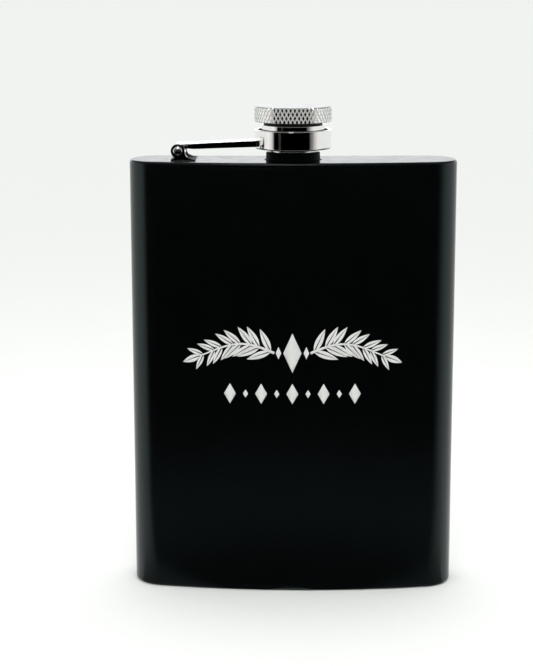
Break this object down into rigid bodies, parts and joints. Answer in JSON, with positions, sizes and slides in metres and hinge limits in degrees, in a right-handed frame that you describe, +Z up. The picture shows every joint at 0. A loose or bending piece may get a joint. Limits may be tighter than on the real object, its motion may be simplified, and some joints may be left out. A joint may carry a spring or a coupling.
{
  "type": "hip flask",
  "caption": "Flat curved pocket flask in black coated steel, with a knurled screw cap that turns in a collar on a hinged arm, so the cap swings aside and stays on the flask.",
  "frame": {"origin": "on the surface that the flask stands on, under the middle of its body's bounding box", "axes": "+Z up through the cap, +X to the viewer's right with the hinge at -X, +Y from the bulging front towards the hollow back that rests on the hip"},
  "size_m": [0.094, 0.024, 0.1413],
  "materials": {
    "powder_coat": "satin-matte black powder coat on stainless steel",
    "polished_steel": "polished stainless steel",
    "silicone_seal": "translucent white silicone",
    "laser_mark": "matt bare steel where a laser took the coat off, on the front ornament"
  },
  "bodies": {
    "flask": {"body_sleeve": "powder_coat", "top_plate": "powder_coat", "base_plate": "powder_coat", "neck": "powder_coat", "hinge_bracket": "polished_steel", "hinge_pin": "polished_steel"},
    "arm": {"cap_arm": "polished_steel", "swivel_collar": "polished_steel"},
    "cap": {"cap_head": "polished_steel", "cap_sleeve": "polished_steel", "cap_seal": "silicone_seal"}
  },
  "joints": [
    {"name": "arm_swing", "type": "hinge", "parent": "flask", "child": "arm", "pos_m": [-0.0327, -0.0008, 0.1288], "axis": [0, -1, 0], "range_deg": [0, 180]},
    {"name": "cap_turn", "type": "hinge", "parent": "arm", "child": "cap", "pos_m": [0, -0.0008, 0.1354], "axis": [0, 0, 1], "continuous": true}
  ]
}
